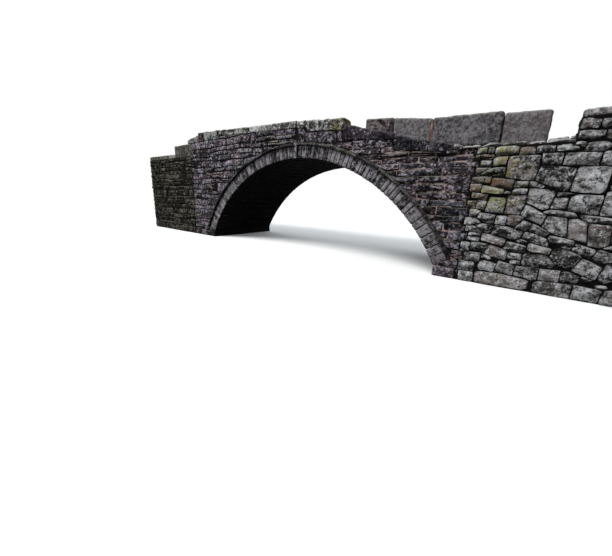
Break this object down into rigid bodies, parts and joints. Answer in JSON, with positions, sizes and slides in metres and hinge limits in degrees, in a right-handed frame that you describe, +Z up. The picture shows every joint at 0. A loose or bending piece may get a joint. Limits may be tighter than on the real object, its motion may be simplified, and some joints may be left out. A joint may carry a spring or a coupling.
{
  "type": "packhorse bridge",
  "caption": "Single-arch packhorse bridge of dark gritstone with a hooded ring of narrow stones, low coped parapets, upright slabs and rubble wing walls.",
  "frame": {"origin": "middle of the bridge's footprint on the stream bed, under the arch's crown", "axes": "+X along the deck towards the rubble wing walls, +Y across the deck from the pictured face to the far face, +Z up"},
  "size_m": [16, 2.76, 3.6579],
  "materials": {
    "ring_stone": "dressed gritstone, tooled and weathered grey",
    "coursed_stone": "dark weathered gritstone with pinkish mortar lines",
    "coping_stone": "grey-green weathered gritstone with lichen",
    "dark_block": "large dark gritstone blocks",
    "slab_stone": "smooth grey-brown gritstone slabs",
    "rubble_stone": "dry-laid grey gritstone rubble with lichen",
    "paving_stone": "worn gritstone paving",
    "barrel_stone": "damp dark gritstone of the arch barrel",
    "hearting": "packed rubble and earth"
  },
  "bodies": {
    "root": {"arch_barrel": "barrel_stone", "arch_ring_near": "ring_stone", "arch_ring_far": "ring_stone", "keystone_near": "ring_stone", "keystone_far": "ring_stone", "hood_near": "coursed_stone", "hood_far": "coursed_stone", "abutment_left": "coursed_stone", "abutment_right": "coursed_stone", "spandrel_near_left": "coursed_stone", "spandrel_near_right": "coursed_stone", "spandrel_far_left": "coursed_stone", "spandrel_far_right": "coursed_stone", "hearting_left": "hearting", "hearting_right": "hearting", "deck_paving_left": "paving_stone", "deck_paving_right": "paving_stone", "parapet_near_left": "coursed_stone", "parapet_near_right": "coursed_stone", "parapet_far_left": "coursed_stone", "parapet_far_right": "coursed_stone", "coping_near_left": "coping_stone", "coping_near_right": "dark_block", "coping_far_left": "coping_stone", "coping_far_crown": "coping_stone", "upright_slabs_far": "slab_stone", "end_stones_near": "coping_stone", "end_stones_far": "coping_stone", "end_block_near": "slab_stone", "end_block_far": "slab_stone", "wing_wall_near_left": "coursed_stone", "wing_wall_far_left": "coursed_stone", "wing_caps_near_left": "paving_stone", "wing_caps_far_left": "paving_stone", "wing_wall_near_right": "rubble_stone", "wing_wall_far_right": "rubble_stone", "raised_wall_near": "rubble_stone", "raised_wall_far": "rubble_stone", "cope_stones_near": "rubble_stone", "cope_stones_far": "rubble_stone", "approach_fill_left": "hearting", "approach_fill_right": "hearting", "approach_paving_left": "paving_stone", "approach_paving_right": "paving_stone"}
  },
  "joints": []
}
